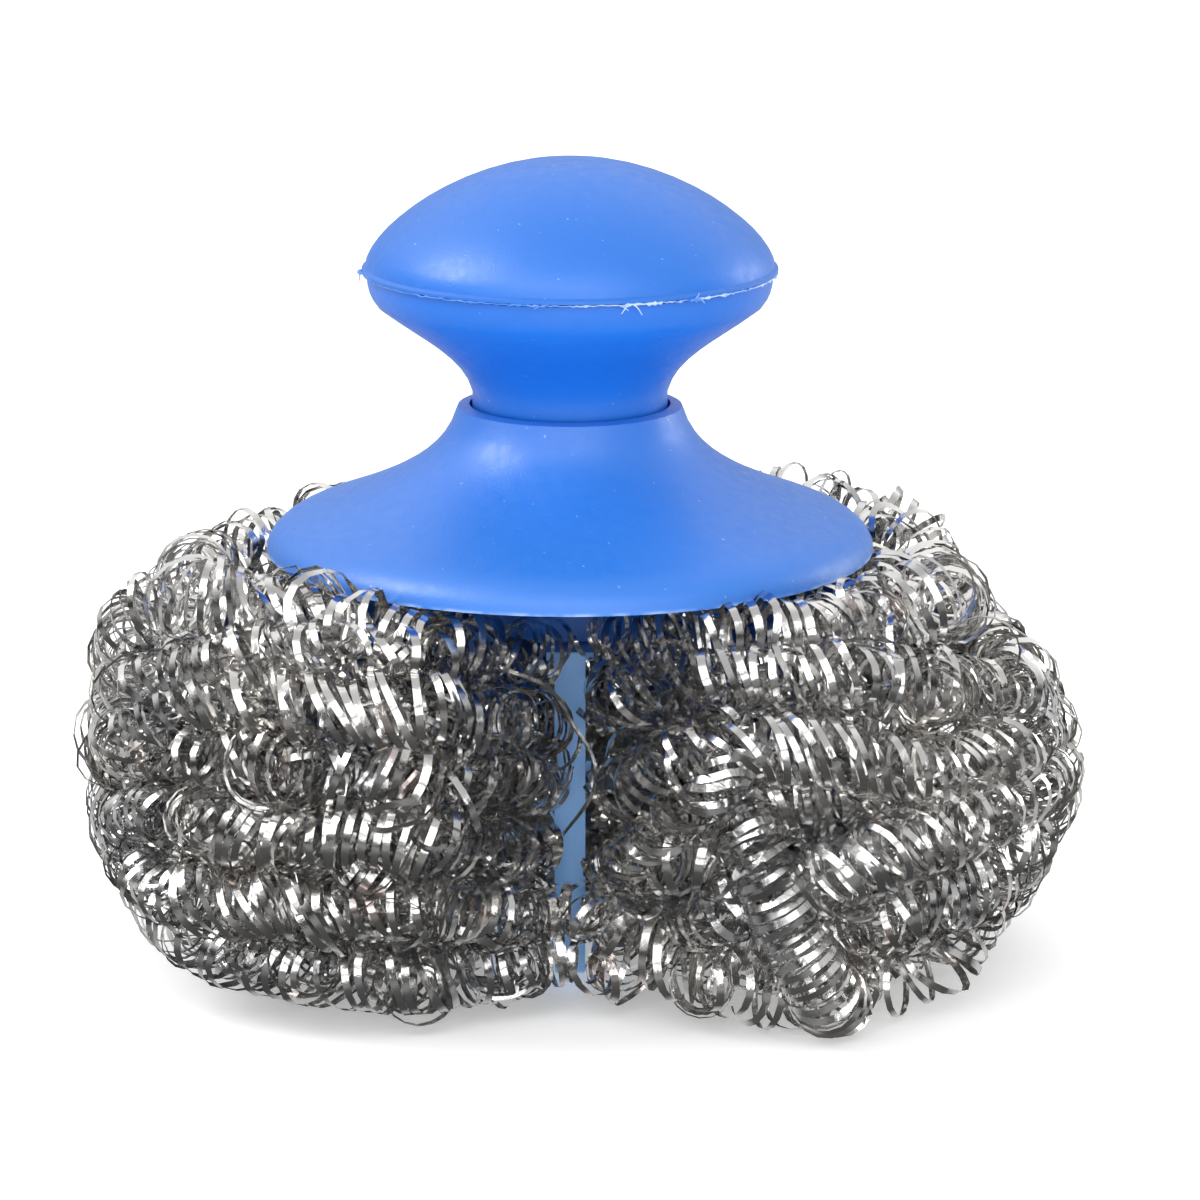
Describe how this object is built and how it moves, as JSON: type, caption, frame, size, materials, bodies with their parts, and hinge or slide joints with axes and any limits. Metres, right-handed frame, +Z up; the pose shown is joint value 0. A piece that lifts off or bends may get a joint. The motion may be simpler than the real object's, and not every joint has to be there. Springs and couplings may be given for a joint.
{
  "type": "scourer",
  "caption": "Pan scourer: a bow-shaped hank of spiral steel strip, clamped under a bell-shaped base by a screw-on mushroom knob.",
  "frame": {"origin": "on the surface it stands on, straight below the knob's axis, at the centre of the hank", "axes": "+Z up along the knob's axis, +X along the hank's longer side, -Y towards the side shown in the picture"},
  "size_m": [0.0996, 0.0716, 0.0807],
  "materials": {
    "plastic": "moulded mid-blue plastic with a soft satin sheen",
    "strap_plastic": "moulded blue plastic strap, duller than the knob",
    "steel": "bright spiral-cut stainless strip"
  },
  "bodies": {
    "scourer": {"steel_hank": "steel", "clamp_yoke": "strap_plastic"},
    "base": {"base_bell": "plastic"},
    "knob": {"knob_body": "plastic", "knob_cap": "plastic"}
  },
  "joints": [
    {"name": "base_lift", "type": "slide", "parent": "scourer", "child": "base", "axis": [0, 0, 1], "range_m": [0, 0.009]},
    {"name": "knob_turn", "type": "hinge", "parent": "base", "child": "knob", "pos_m": [0, 0, 0.06], "axis": [0, 0, 1], "range_deg": [0, 1080]}
  ],
  "couplings": [
    {"joint": "base_lift", "follows": "knob_turn", "m_per_rad": 0.00047746}
  ]
}
